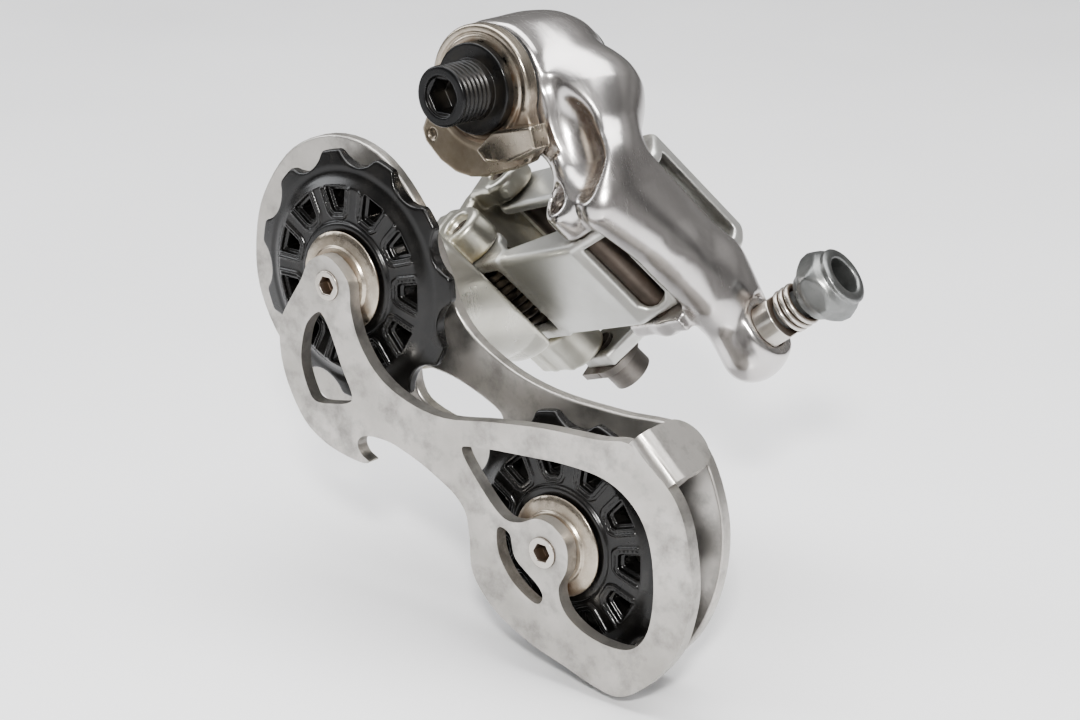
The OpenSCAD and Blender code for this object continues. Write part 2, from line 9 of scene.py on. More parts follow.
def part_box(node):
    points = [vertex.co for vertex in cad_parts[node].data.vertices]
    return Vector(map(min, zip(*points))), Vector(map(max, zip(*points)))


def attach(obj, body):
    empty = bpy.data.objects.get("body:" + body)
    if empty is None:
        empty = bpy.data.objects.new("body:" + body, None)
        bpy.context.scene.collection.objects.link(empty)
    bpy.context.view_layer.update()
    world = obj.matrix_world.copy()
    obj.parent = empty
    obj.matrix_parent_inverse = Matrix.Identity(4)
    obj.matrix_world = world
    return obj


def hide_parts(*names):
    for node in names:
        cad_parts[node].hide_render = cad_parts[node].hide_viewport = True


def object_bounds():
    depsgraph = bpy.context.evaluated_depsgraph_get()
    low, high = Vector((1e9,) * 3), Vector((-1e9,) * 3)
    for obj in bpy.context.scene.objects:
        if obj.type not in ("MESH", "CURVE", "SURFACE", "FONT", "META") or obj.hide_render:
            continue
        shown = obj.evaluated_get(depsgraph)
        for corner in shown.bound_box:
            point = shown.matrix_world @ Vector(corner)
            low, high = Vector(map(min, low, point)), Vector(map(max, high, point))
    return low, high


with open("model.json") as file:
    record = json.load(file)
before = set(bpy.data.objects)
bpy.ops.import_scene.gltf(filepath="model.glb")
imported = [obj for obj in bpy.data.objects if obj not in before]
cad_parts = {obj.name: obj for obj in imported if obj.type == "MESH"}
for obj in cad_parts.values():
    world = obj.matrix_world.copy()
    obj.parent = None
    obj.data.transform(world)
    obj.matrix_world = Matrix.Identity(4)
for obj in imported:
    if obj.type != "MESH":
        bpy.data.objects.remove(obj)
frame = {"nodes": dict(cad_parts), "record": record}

CAD_LOW, CAD_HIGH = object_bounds()
MM = 0.001
NODES = frame["nodes"]
BODY_OF = {n: b for b, ns in frame["record"]["behaviour"]["bodies"].items() for n in ns}
SLOT_OF = {s["node"]: s["material_slot"] for s in frame["record"]["subparts"]}

# ---- Places, in millimetres in the row frame ----
UPPER_PULLEY = np.array([-11.4, -15.6, -29.7])
LOWER_PULLEY = np.array([33.2, -15.6, -63.8])
CAGE_PIVOT = np.array([-8.0, 0.0, -37.0])
PULLEY_TEETH = 11
LINK_LENGTH = 30.5
OUTER_PIN = np.array([14 * math.cos(math.radians(84)), 14 * math.sin(math.radians(84)), 0.0])
PIN_TURN, PIN_DIP, LINK_TURN = math.radians(54), math.radians(47), math.radians(61)
PINS = Matrix.Translation((15.6, 4, -17.4)) @ Matrix.Rotation(PIN_TURN, 4, "Z") \
    @ Matrix.Rotation(math.pi / 2 + PIN_DIP, 4, "Y") @ Matrix.Rotation(LINK_TURN, 4, "Z")
LOWER_PINS = PINS @ Matrix.Translation((LINK_LENGTH, 0, 0))
ADJUSTER = Matrix.Translation((41, 25.8, -37.6)) @ Matrix.Rotation(math.radians(11), 4, "Z") \
    @ Matrix.Rotation(math.radians(51), 4, "Y")
ALONG_Y = Matrix.Rotation(-math.pi / 2, 4, "X")
# Heights along the pins where the inner and the outer pin's lugs face their links
LUG_TOP, LUG_BOTTOM, OUTER_TOP, OUTER_BOTTOM = 5.2, 25.1, 4.8, 28.8
# Radii of the lugs and of the pins' bores in the knuckles and in the links, and the links' gap beside a lug
LUG_R, KNUCKLE_BORE, LINK_BORE, SIDE_GAP = 4.3, 2.03, 2.06, 0.3
# Top of the upper knuckle, and its seat on the stop plate, as a radius and a place along y
BARREL_TOP, STOP_PLATE_ROOM, SEAT_Y = 10.3, 16.6, 4.9
# Edges sharper than this are rounded on the machined parts
SHARP_EDGE = math.radians(34)


# ---- Signed distances, on arrays of points in millimetres ----
def local(p, frame_matrix):
    """Points of the row frame, in the coordinates of another frame."""
    m = np.array(frame_matrix.inverted(), dtype=np.float32)
    return p @ m[:3, :3].T + m[:3, 3]


def upright(p, at=(0, 0, 0)):
    """Points turned so that the row's +Y becomes +Z, counted from a place."""
    at = np.array(at, np.float32)
    return np.stack([p[:, 0] - at[0], at[2] - p[:, 2], p[:, 1] - at[1]], 1)


def join(a, b, k):
    """Smooth union: a and b run into each other over a fillet of about k."""
    h = np.clip(0.5 + 0.5 * (b - a) / k, 0, 1)
    return b + (a - b) * h - k * h * (1 - h)


def carve(a, b, k):
    """a with b taken away, over a rounded edge of about k."""
    return -join(-a, b, k)


def both(a, b, k):
    """Smooth intersection."""
    return -join(-a, -b, k)


def rod(p, a, b, ra, rb):
    """A round-ended rod from a to b, its radius going from ra to rb."""
    a, b = np.array(a, np.float32), np.array(b, np.float32)
    d = b - a
    t = np.clip(((p - a) @ d) / (d @ d), 0, 1)
    return np.linalg.norm(p - a - t[:, None] * d, axis=1) - (ra + (rb - ra) * t)


def drum(p, r, z0, z1, edge=0.3, at=(0, 0)):
    """An upright cylinder with rounded edges."""
    radial = np.hypot(p[:, 0] - at[0], p[:, 1] - at[1]) - r
    axial = np.abs(p[:, 2] - (z0 + z1) / 2) - (z1 - z0) / 2
    outside = np.hypot(np.maximum(radial + edge, 0), np.maximum(axial + edge, 0))
    return outside + np.minimum(np.maximum(radial, axial) + edge, 0) - edge


def polygon_distance(p, points):
    """Signed distance to a closed outline in x and y."""
    pts = np.array(points, np.float32)
    best = np.full(len(p), 1e9, np.float32)
    sign = np.ones(len(p), np.float32)
    for a, b in zip(pts, np.roll(pts, 1, axis=0)):
        e = b - a
        w = p[:, :2] - a
        t = np.clip((w @ e) / (e @ e), 0, 1)
        best = np.minimum(best, ((w - t[:, None] * e) ** 2).sum(1))
        c = np.stack([w[:, 1] >= 0, p[:, 1] < b[1], e[0] * w[:, 1] > e[1] * w[:, 0]])
        sign = np.where(c.all(0) | (~c).all(0), -sign, sign)
    return sign * np.sqrt(best)


def prism(p, points, z0, z1, edge=0.5):
    """An outline filled from z0 to z1, with rounded edges."""
    side = polygon_distance(p, points)
    axial = np.abs(p[:, 2] - (z0 + z1) / 2) - (z1 - z0) / 2
    outside = np.hypot(np.maximum(side + edge, 0), np.maximum(axial + edge, 0))
    return outside + np.minimum(np.maximum(side, axial) + edge, 0) - edge


def turned(p, heights, radii):
    """Roughly the distance to a shape turned about +Z, from its radii at some heights."""
    r = np.interp(p[:, 2], heights, radii)
    return (np.hypot(p[:, 0], p[:, 1]) - r) * 0.96


def hexagon(r):
    """Corners of a hexagon, each r from the centre."""
    return [(r * math.cos(k * math.pi / 3), r * math.sin(k * math.pi / 3)) for k in range(6)]


# ---- From a distance to a mesh ----
def sampled(shape, low, high, step):
    """The distance on a grid: everywhere coarsely, and finely where the surface runs."""
    low = np.array(low, np.float32)
    cells = np.ceil((np.array(high) - low) / (4 * step)).astype(int)
    index = np.indices(cells).reshape(3, -1).T
    coarse = shape((low + (index + 0.5) * 4 * step).astype(np.float32)).reshape(cells)
    big = coarse.repeat(4, 0).repeat(4, 1).repeat(4, 2).astype(np.float32)
    near = np.argwhere(np.abs(big) < 4 * step * 1.3)
    values = shape((low + (near + 0.5) * step).astype(np.float32))
    big[near[:, 0], near[:, 1], near[:, 2]] = values
    return big, low + 0.5 * step


def crossings(f):
    """Surface-net vertices and quads of a grid's zero level, in grid units."""
    corners = [(x, y, z) for x in (0, 1) for y in (0, 1) for z in (0, 1)]
    n = np.array(f.shape) - 1
    part = [f[x:x + n[0], y:y + n[1], z:z + n[2]] for x, y, z in corners]
    count = sum((c < 0).astype(np.int8) for c in part)
    mixed = np.argwhere((count > 0) & (count < 8))
    where = -np.ones(n, np.int64)
    where[tuple(mixed.T)] = np.arange(len(mixed))
    values = np.stack([c[tuple(mixed.T)] for c in part])
    total = np.zeros((len(mixed), 3))
    hits = np.zeros(len(mixed))
    for i, a in enumerate(corners):
        for j, b in enumerate(corners):
            if j > i and sum(abs(np.subtract(a, b))) == 1:
                va, vb = values[i], values[j]
                cross = (va < 0) != (vb < 0)
                t = np.where(cross, va / np.where(cross, va - vb, 1), 0)
                point = np.array(a) + t[:, None] * np.subtract(b, a)
                total += np.where(cross[:, None], point, 0)
                hits += cross
    verts = mixed + total / hits[:, None]
    quads = []
    for axis in range(3):
        u, v = (axis + 1) % 3, (axis + 2) % 3
        ahead = np.roll(f, -1, axis)
        edge = (f < 0) != (ahead < 0)
        at = np.argwhere(edge)
        keep = (at[:, axis] < f.shape[axis] - 1) & (at[:, u] > 0) & (at[:, v] > 0) \
            & (at[:, u] < f.shape[u] - 1) & (at[:, v] < f.shape[v] - 1)
        at = at[keep]
        du, dv = np.eye(3, dtype=int)[u], np.eye(3, dtype=int)[v]
        around = ((0, 0), (1, 0), (1, 1), (0, 1))
        ring = np.stack([where[tuple((at - s * du - t * dv).T)] for s, t in around], 1)
        inward = f[tuple(at.T)] < 0
        quads.append(np.where(inward[:, None], ring, ring[:, ::-1]))
    return verts, np.concatenate(quads)


def grid_value(f, v):
    """Trilinear value and slope of a grid at points in grid units."""
    i = np.clip(np.floor(v).astype(int), 0, np.array(f.shape) - 2)
    t = v - i
    c = [[[f[i[:, 0] + x, i[:, 1] + y, i[:, 2] + z] for z in (0, 1)] for y in (0, 1)] for x in (0, 1)]
    tx, ty, tz = t.T

    def mix(a, b, w):
        return a + (b - a) * w
    xy = [[mix(c[0][y][z], c[1][y][z], tx) for z in (0, 1)] for y in (0, 1)]
    value = mix(mix(xy[0][0], xy[1][0], ty), mix(xy[0][1], xy[1][1], ty), tz)
    gx = mix(mix(c[1][0][0] - c[0][0][0], c[1][1][0] - c[0][1][0], ty),
             mix(c[1][0][1] - c[0][0][1], c[1][1][1] - c[0][1][1], ty), tz)
    gy = mix(xy[1][0] - xy[0][0], xy[1][1] - xy[0][1], tz)
    gz = mix(xy[0][1], xy[1][1], ty) - mix(xy[0][0], xy[1][0], ty)
    return value, np.stack([gx, gy, gz], 1)


def relaxed(verts, quads, rounds):
    """Vertices evened out along the mesh, a little in and a little out, so that they don't shrink."""
    a, b = np.concatenate([quads, np.roll(quads, 1, axis=1)], 0).reshape(2, -1)
    n = len(verts)
    weight = np.maximum(np.bincount(a, minlength=n) + np.bincount(b, minlength=n), 1)
    for i in range(rounds):
        total = np.stack([np.bincount(a, verts[b, k], n) + np.bincount(b, verts[a, k], n)
                          for k in range(3)], 1)
        verts = verts + (0.5 if i % 2 == 0 else -0.52) * (total / weight[:, None] - verts)
    return verts


def solid_mesh(name, shape, low, high, step):
    """A smooth mesh of a distance function's inside, its points pulled onto the surface."""
    f, origin = sampled(shape, low, high, step)
    verts, quads = crossings(f)
    verts = relaxed(verts, quads, 6)
    for _ in range(2):
        value, slope = grid_value(f, verts)
        verts -= np.clip(value / np.maximum((slope ** 2).sum(1), 1e-6), -0.6, 0.6)[:, None] * slope * 0.8
    verts = relaxed(verts, quads, 2)
    mesh = bpy.data.meshes.new(name)
    mesh.from_pydata(((verts * step + origin) * MM).tolist(), [], quads.tolist())
    mesh.polygons.foreach_set("use_smooth", [True] * len(mesh.polygons))
    mesh.update()
    return mesh


# ---- Pieces ----
# Nodes whose wear sets them apart from the rest of their material slot; the pins' very dark finish is partly
# rust and partly painted shade of the pockets they sit in
FINISH_OF = {
    "lower_knuckle": "bell_alloy", "inner_link": "link_alloy", "outer_link": "link_alloy",
    "upper_inner_pin": "rust_and_shade_pin", "upper_outer_pin": "rust_and_shade_pin", "lower_inner_pin": "rust_and_shade_pin",
    "lower_outer_pin": "rust_and_shade_pin", "return_spring": "spring_steel", "cable_anchor_bolt": "old_steel",
    "cable_clamp_washer": "old_steel",
}


def add(mesh, node):
    """A new piece that rides on its node's body and stands for that node, with its finish."""
    o = bpy.data.objects.new(node + "_fine", mesh)
    bpy.context.scene.collection.objects.link(o)
    slot = SLOT_OF[node]
    mesh.materials.clear()
    mesh.materials.append(MATERIALS[FINISH_OF.get(node, slot)])
    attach(o, BODY_OF[node])
    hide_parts(node)
    return o


def refined(node, width, segments=3):
    """The CAD node's own shape, with its machined edges rounded."""
    bm = bmesh.new()
    bm.from_mesh(NODES[node].data)
    bmesh.ops.remove_doubles(bm, verts=bm.verts, dist=2e-6)
    bmesh.ops.dissolve_limit(bm, angle_limit=math.radians(1.2), verts=bm.verts, edges=bm.edges)
    sharp = [e for e in bm.edges if e.is_manifold and e.calc_face_angle(0) > SHARP_EDGE]
    bmesh.ops.bevel(bm, geom=sharp, offset=width * MM, segments=segments, profile=0.5,
                    affect="EDGES", clamp_overlap=True, harden_normals=False)
    for face in bm.faces:
        face.smooth = True
    for e in bm.edges:
        e.smooth = not e.is_manifold or e.calc_face_angle(0) < SHARP_EDGE
    mesh = bpy.data.meshes.new(node + "_fine")
    bm.to_mesh(mesh)
    bm.free()
    o = add(mesh, node)
    o.modifiers.new("normals", "WEIGHTED_NORMAL").keep_sharp = True
    return o


# ---- Materials ----
class Shade:
    """Short calls for building one node material."""
    def __init__(self, name):
        self.m = bpy.data.materials.new(name)
        self.m.use_nodes = True
        self.t = self.m.node_tree
        self.bsdf = self.t.nodes["Principled BSDF"]
        self.coords = self.t.nodes.new("ShaderNodeTexCoord").outputs["Object"]

    def node(self, kind, values=(), **props):
        n = self.t.nodes.new(kind)
        for k, v in props.items():
            setattr(n, k, v)
        for k, v in dict(values).items():
            if isinstance(v, bpy.types.NodeSocket):
                self.t.links.new(v, n.inputs[k])
            else:
                n.inputs[k].default_value = v
        return n

    def noise(self, scale, detail=4.0, rough=0.55, stretch=(1, 1, 1)):
        where = self.node("ShaderNodeMapping", {"Vector": self.coords, "Scale": stretch}).outputs[0]
        return self.node("ShaderNodeTexNoise", {"Vector": where, "Scale": scale, "Detail": detail,
                                                "Roughness": rough}).outputs["Fac"]

    def remap(self, value, low, high, to_low=0.0, to_high=1.0):
        return self.node("ShaderNodeMapRange", {"Value": value, "From Min": low, "From Max": high,
                                                "To Min": to_low, "To Max": to_high}).outputs[0]

    def math(self, operation, a, b):
        return self.node("ShaderNodeMath", {0: a, 1: b}, operation=operation).outputs[0]

    def mix(self, factor, a, b):
        n = self.node("ShaderNodeMix", {"Factor": factor}, data_type="RGBA")
        for k, v in (("A", a), ("B", b)):
            socket = [s for s in n.inputs if s.name == k and s.type == "RGBA"][0]
            if isinstance(v, bpy.types.NodeSocket):
                self.t.links.new(v, socket)
            else:
                socket.default_value = (*v, 1)
        return [s for s in n.outputs if s.type == "RGBA"][0]

    def recess_shade_and_dirt(self, distance):
        """One in corners and pockets, where shade falls and grime stays, and nought on open faces: the mask
        for both painted shade and grime.
        """
        ao = self.node("ShaderNodeAmbientOcclusion", {"Distance": distance}, samples=4).outputs["AO"]
        return self.remap(ao, 0.35, 0.95, 1.0, 0.0)

    def bump(self, *layers):
        normal = None
        for height, strength in layers:
            values = {"Height": height, "Strength": strength, "Distance": 0.0001}
            if normal is not None:
                values["Normal"] = normal
            normal = self.node("ShaderNodeBump", values).outputs[0]
        self.set("Normal", normal)

    def set(self, socket, value):
        if isinstance(value, bpy.types.NodeSocket):
            self.t.links.new(value, self.bsdf.inputs[socket])
        else:
            self.bsdf.inputs[socket].default_value = value


def metal(name, colour, dark, rough, stain_and_shade=(0.16, 0.13, 0.09), stain_and_shade_amount=0.5, grain=0.05, scratch=0.04,
          pits=0.0, metallic=1.0, spread=0.004, cover=0.35):
    """Worn metal: cloudy tone, fine scratches, and stains mixed with painted shade that gather in corners and
    pockets.
    """
    s = Shade(name)
    cloud = s.noise(70, 5, 0.6)
    fine = s.noise(900, 3, 0.6)
    lines = s.noise(420, 3, 0.6, (1, 9, 1))
    cross_lines = s.noise(380, 3, 0.6, (8, 1, 3))
    patch = s.remap(s.noise(170, 6, 0.65), 0.48, 0.70)
    base = s.mix(s.remap(cloud, 0.35, 0.7), colour, dark)
    # Painted shade and grime: an occlusion mask, broken up by noise, darkens corners and pockets towards the
    # stain colour and dulls them.
    dirt_and_shade = s.math("MULTIPLY", s.recess_shade_and_dirt(spread), s.remap(s.noise(260, 5, 0.6), cover, cover + 0.27))
    base = s.mix(s.math("MULTIPLY", dirt_and_shade, stain_and_shade_amount), base, stain_and_shade)
    if pits:
        base = s.mix(s.math("MULTIPLY", patch, pits), base, tuple(c * 0.35 for c in dark))
    s.set("Base Color", base)
    s.set("Metallic", s.math("SUBTRACT", metallic, s.math("MULTIPLY", dirt_and_shade, 0.5 * stain_and_shade_amount)))
    cloudy = s.remap(cloud, 0.3, 0.75, rough * 0.8, rough * 1.3)
    wear = s.math("ADD", cloudy, s.remap(lines, 0.45, 0.75, 0, 0.06))
    s.set("Roughness", s.math("ADD", wear, s.math("MULTIPLY", dirt_and_shade, 0.35)))
    s.bump((fine, grain), (lines, scratch), (cross_lines, scratch))
    return s.m


def plastic(name, colour, pale, rough, grain=0.08):
    """Moulded plastic, dulled in patches by paler dust."""
    s = Shade(name)
    dust = s.math("MULTIPLY", s.remap(s.noise(240, 6, 0.65), 0.45, 0.72), 0.5)
    s.set("Base Color", s.mix(dust, colour, pale))
    s.set("Roughness", s.remap(s.noise(120, 4), 0.3, 0.7, rough * 0.8, rough * 1.25))
    s.bump((s.noise(1500, 3, 0.6), grain), (s.noise(300, 3, 0.5, (1, 6, 1)), 0.05))
    return s.m


def make_metals():
    """The metal finishes, each with an open face's two tones and the colour of its stains and of the painted
    shade in its corners and pockets.
    """
    return {
        "polished_alloy": metal("polished_alloy", (0.62, 0.60, 0.59), (0.49, 0.47, 0.46), 0.21,
                                stain_and_shade=(0.24, 0.17, 0.09), stain_and_shade_amount=0.5, grain=0.05, scratch=0.05,
                                spread=0.0022),
        "satin_alloy": metal("satin_alloy", (0.52, 0.50, 0.475), (0.39, 0.375, 0.35), 0.36,
                             stain_and_shade=(0.10, 0.085, 0.065), stain_and_shade_amount=0.8, grain=0.20, scratch=0.06, pits=0.6,
                             metallic=0.92),
        "link_alloy": metal("link_alloy", (0.70, 0.70, 0.68), (0.60, 0.60, 0.575), 0.36,
                            stain_and_shade=(0.10, 0.08, 0.05), stain_and_shade_amount=0.75, grain=0.10, scratch=0.04, metallic=0.9),
        "bell_alloy": metal("bell_alloy", (0.56, 0.55, 0.50), (0.44, 0.43, 0.38), 0.30,
                            stain_and_shade=(0.30, 0.23, 0.09), stain_and_shade_amount=0.7, grain=0.08, scratch=0.04, metallic=0.95),
        # Pins far darker than their steel slot: partly rust, partly painted shade of the pockets round them.
        "rust_and_shade_pin": metal("rust_and_shade_pin", (0.13, 0.11, 0.095), (0.06, 0.05, 0.042), 0.36,
                           stain_and_shade=(0.05, 0.03, 0.018), stain_and_shade_amount=0.9, grain=0.10, metallic=0.8),
        "old_steel": metal("old_steel", (0.34, 0.32, 0.30), (0.20, 0.185, 0.17), 0.34,
                           stain_and_shade=(0.06, 0.04, 0.025), stain_and_shade_amount=1.0, grain=0.10, pits=0.4),
        "black_steel": metal("black_steel", (0.009, 0.009, 0.0095), (0.005, 0.005, 0.0055), 0.24,
                             stain_and_shade_amount=0.2, grain=0.10, metallic=0.3),
        "tarnished_nickel": metal("tarnished_nickel", (0.50, 0.455, 0.39), (0.34, 0.295, 0.235), 0.25,
                                  stain_and_shade=(0.12, 0.06, 0.025), stain_and_shade_amount=0.95, grain=0.06, pits=0.35),
        "bright_steel": metal("bright_steel", (0.60, 0.575, 0.54), (0.44, 0.41, 0.37), 0.22,
                              stain_and_shade=(0.085, 0.055, 0.035), stain_and_shade_amount=1.0, grain=0.05, spread=0.006, cover=0.12),
        "zinc": metal("zinc", (0.27, 0.275, 0.27), (0.17, 0.175, 0.175), 0.36,
                      stain_and_shade=(0.06, 0.06, 0.06), stain_and_shade_amount=0.5, grain=0.22, pits=0.5, metallic=0.95),
        "spring_steel": metal("spring_steel", (0.07, 0.064, 0.058), (0.035, 0.03, 0.026), 0.30,
                              stain_and_shade_amount=0.6, grain=0.1),
    }


def make_plastics():
    """The moulded and rubber finishes, each with its own colour and its dust's."""
    return {
        "black_plastic": plastic("black_plastic", (0.0045, 0.0043, 0.0042), (0.020, 0.018, 0.016), 0.25),
        "bush_plastic": plastic("bush_plastic", (0.035, 0.025, 0.018), (0.06, 0.05, 0.04), 0.4),
        "rubber": plastic("rubber", (0.012, 0.012, 0.012), (0.04, 0.04, 0.04), 0.6),
    }


MATERIALS = {**make_metals(), **make_plastics()}


# ---- Knuckles and links ----
def knuckle_barrel(p):
    """The barrel round the hanger bolt, and the dome that leaves it for the arm."""
    q, y = local(p, PINS), upright(p)
    heights = [4, 6, 12, 16, 20, 23.6, 26, 27.4]
    radii = [10.3, 10.4, 10.4, 10.2, 9.6, 8.7, 7.5, 5.6]
    barrel = both(turned(y, heights, radii), np.abs(y[:, 2] - 16.05) - 10.95, 1.6)
    body = join(barrel, rod(p, (2, 16, 0), (11.3, 15.6, -3.4), 9.7, 8.6), 3)
    body = join(body, rod(q, (2, 18, -5.4), (-4, 9, -1), 8, 5.4), 4)
    return join(body, rod(p, (11.3, 13.4, -3.4), (18.2, 10, -11.6), 7.8, 5.4), 4)


def knuckle_arm(q):
    """The long arm along the pins, with its lower edge nearest the inner link."""
    spine = rod(q, (-5, 7, -1), (-5, 7, 29), 4.6, 4.6)
    arm = join(spine, rod(q, (-4.4, 10.5, 0), (-4.6, 10, 25), 4.6, 4.6), 2)
    arm = join(arm, rod(q, (-6.4, 4.2, 2), (-6.8, 6, 26), 4.1, 4.4), 4)
    arm = join(arm, rod(q, (-6.8, 0.6, 3), (-7.2, 3.8, 18), 3.0, 3.2), 4)
    return join(arm, rod(q, (-7.2, 3.8, 18), (-7.9, 2.9, 27), 3.2, 4.0), 4)


def knuckle_tail(q):
    """The arm's end, which holds the cable adjuster."""
    under = rod(q, (-5, 7.8, 26), (-8.6, 0.8, 38.6), 4.9, 4.9)
    return join(under, rod(q, (-5, 8, 28), (-8.4, 3.4, 39.4), 4.8, 4.9), 2)


def with_top_lugs(body, q):
    """The body joined to the lugs at the two pins' near ends, and the webs behind them."""
    body = join(body, rod(q, (4.6, 6.4, -7.2), (0, 0.2, 2.2), 4.8, 2.9), 3)
    inner_web = [(-3.3, 0), (3.3, 0), (2.5, 9), (-5, 9)]
    body = join(body, prism(q, inner_web, -0.5, OUTER_TOP, 0.8), 2.6)
    body = join(body, rod(q, (-1.4, 1.4, 2.6), (-5.6, 4.4, 3.4), 2.4, 3.2), 2.4)
    body = join(body, drum(q, 3.5, -0.6, LUG_TOP, 1.2), 1.2)
    body = join(body, drum(q, LUG_R, -3, OUTER_TOP, 0.8, OUTER_PIN), 2)
    outer_web = [(-6, 6), (4.5, 6), (5.7, 14), (-2.8, 14)]
    return join(body, prism(q, outer_web, -3, OUTER_TOP, 1), 2)


def with_bottom_lugs(body, q):
    """The body joined to the foot and the back that hold the pins' far ends."""
    foot_outline = [(-6, -3.2), (7.4, -3.2), (7.6, 0.6), (3, 6), (-6, 7)]
    foot = prism(q, foot_outline, LUG_BOTTOM, 28.4, 0.9)
    body = join(body, join(drum(q, 3.4, LUG_BOTTOM, 29, 0.9), foot, 1), 1.5)
    back_outline = [(-6, 5), (2, 5), (5.7, 14), (4.5, 17), (0, 18), (-2.8, 14)]
    return join(body, prism(q, back_outline, OUTER_BOTTOM, 31, 0.9), 1.5)


def with_channel(body, p):
    """The body less the channel from the barrel's face to the inner pin, and the hollow left of it."""
    channel = rod(p, (12.4, 4.6, 1.4), (16.6, 3.4, -4), 1.8, 3.4)
    channel = join(channel, rod(p, (16.6, 3.4, -4), (19.2, 2.2, -9), 3.4, 3.4), 5)
    channel = join(channel, rod(p, (19.2, 2.2, -9), (20.6, 1.0, -13), 3.4, 2.0), 5)
    body = carve(body, channel, 1.4)
    body = both(body, p[:, 2] - BARREL_TOP, 0.6)
    return carve(body, rod(p, (13.0, -3.8, -11.7), (1.9, 9.1, -17.2), 5.6, 5.8), 2.2)


def with_hanger_bores(body, p):
    """The body less the stop plate's seat, the bolt's bore, the spring's room and the bolt head's recess."""
    y = upright(p)
    body = carve(body, np.maximum(np.hypot(p[:, 0], p[:, 2]) - STOP_PLATE_ROOM, p[:, 1] - SEAT_Y), 0.4)
    body = carve(body, drum(y, 6.0, 0, 40, 0.1), 0.3)
    body = carve(body, drum(y, 9.2, 0, 15, 0.1), 0.3)
    return carve(body, drum(y, 6.9, 24.5, 40, 0.1), 0.5)


def with_link_rooms(body, q):
    """The body less both pins' bores and the rooms in which the links swing."""
    body = carve(body, drum(q, KNUCKLE_BORE, -5, 60, 0.1), 0.5)
    body = carve(body, drum(q, KNUCKLE_BORE, -2, 60, 0.1, OUTER_PIN), 0.3)
    body = carve(body, drum(q, 5.9, LUG_TOP, LUG_BOTTOM, 0.2), 0.35)
    swept = [(1.46, 30), (1.46, 14), (-0.9, 11.5), (-0.9, 9.4), (1.46, 7.1), (20, -11.4), (30, 0), (30, 30)]
    room = prism(q, swept, OUTER_TOP, OUTER_BOTTOM, 0.2)
    for x, y in ((-1.5, 1), (0.2, 1.8)):
        room = np.minimum(room, drum(q, 6.4, OUTER_TOP, OUTER_BOTTOM, 0.2, OUTER_PIN + np.array([x, y, 0])))
    return carve(body, room, 0.35)


def with_adjuster_bores(body, a):
    """The body less the adjuster's thread, its spring's and head's rooms, and the cable's way through."""
    body = carve(body, drum(a, 3.6, -4, 10, 0.1), 0.4)
    body = carve(body, drum(a, 5.3, 0, 16, 0.1), 0.5)
    body = carve(body, drum(a, 6.7, 7, 16, 0.1), 0.5)
    return carve(body, drum(a, 1.2, -20, 10, 0.1), 0.3)


def upper_knuckle_shape(p):
    q, a = local(p, PINS), local(p, ADJUSTER)
    body = join(knuckle_barrel(p), knuckle_arm(q), 3)
    body = join(body, knuckle_tail(q), 4)
    body = with_bottom_lugs(with_top_lugs(body, q), q)
    body = join(body, drum(a, 5.2, -6, 0, 1.2), 1.5)
    body = with_hanger_bores(with_channel(body, p), p)
    return with_adjuster_bores(with_link_rooms(body, q), a)


def knuckle_bell(p):
    """The open bell round the cage pivot, with the hump that runs into it from the pins."""
    q, y = local(p, LOWER_PINS), upright(p, CAGE_PIVOT)
    heights = [-8, -6.6, -2, 3, 8, 12, 14.6, 16, 17.6]
    radii = [9.6, 10.0, 10.7, 11.5, 12.3, 13.1, 14.1, 14.5, 14.2]
    bell = both(turned(y, heights, radii), np.abs(y[:, 2] - 4.9) - 12.5, 1.2)
    bell = carve(bell, np.maximum(9.5 - np.hypot(y[:, 0], y[:, 1]), 17.0 - y[:, 2]), 0.5)
    hump = join(rod(q, (3, -13, 6), (9, 3, 10), 6, 3.5), rod(q, (3, -13, 6), (9, 0, 26), 6, 3.5), 3)
    return join(bell, hump, 4)


def fork_lug(q, low, high, at):
    """A round lug about a pin, run back to the plate behind it."""
    x, y = at
    web = [(x, y - LUG_R), (x + 6, y - LUG_R), (x + 6, y + LUG_R), (x, y + LUG_R)]
    return join(drum(q, LUG_R, low, high, 1.1, at), prism(q, web, low, high, 1), 1)


def lower_knuckle_shape(p):
    q, y = local(p, LOWER_PINS), upright(p, CAGE_PIVOT)
    # Room for both links in front of the plate that carries the lugs
    slot = [(-40, -23.3), (-1, -4), (0, -4.6), (4.9, -4.6), (4.9, 30), (-40, 30)]
    body = carve(knuckle_bell(p), prism(q, slot, -40, 60, 0.1), 0.8)
    plate_outline = [(4.9, -4.3), (8.9, -4.3), (10.4, 9.9), (8.4, 18.2), (6.6, 18.2), (6.6, 9.6)]
    plate = prism(q, plate_outline, 1.5, 33, 1.2)
    plate = join(plate, prism(q, [(4.9, -4.3), (8.9, -4.3), (8.9, 3.7), (4.9, 3.7)], -1, 5, 1), 1)
    body = join(body, plate, 1.5)
    outer_at = (OUTER_PIN[0], OUTER_PIN[1])
    for low, high, at in ((-1, LUG_TOP, (0, 0)), (LUG_BOTTOM, 33, (0, 0)),
                          (0.5, OUTER_TOP, outer_at), (OUTER_BOTTOM, 33, outer_at)):
        body = join(body, fork_lug(q, low, high, at), 0.8)
    body = carve(body, drum(y, 5.55, -12, 7, 0.1), 0.3)
    body = carve(body, drum(y, 8.3, -12, 3, 0.1), 0.4)
    body = carve(body, drum(q, KNUCKLE_BORE, -0.5, 60, 0.1), 0.3)
    body = carve(body, drum(q, KNUCKLE_BORE, -2, 60, 0.1, OUTER_PIN), 0.3)
    body = carve(body, drum(q, 4.6, LUG_TOP, LUG_BOTTOM, 0.2), 0.3)
    body = carve(body, drum(q, 4.9, OUTER_TOP, OUTER_BOTTOM, 0.2, OUTER_PIN), 0.3)
    # Recess in the visible top lug, over the pin's end
    return carve(body, drum(q, 2.4, -3, -0.2, 0.2), 0.4)


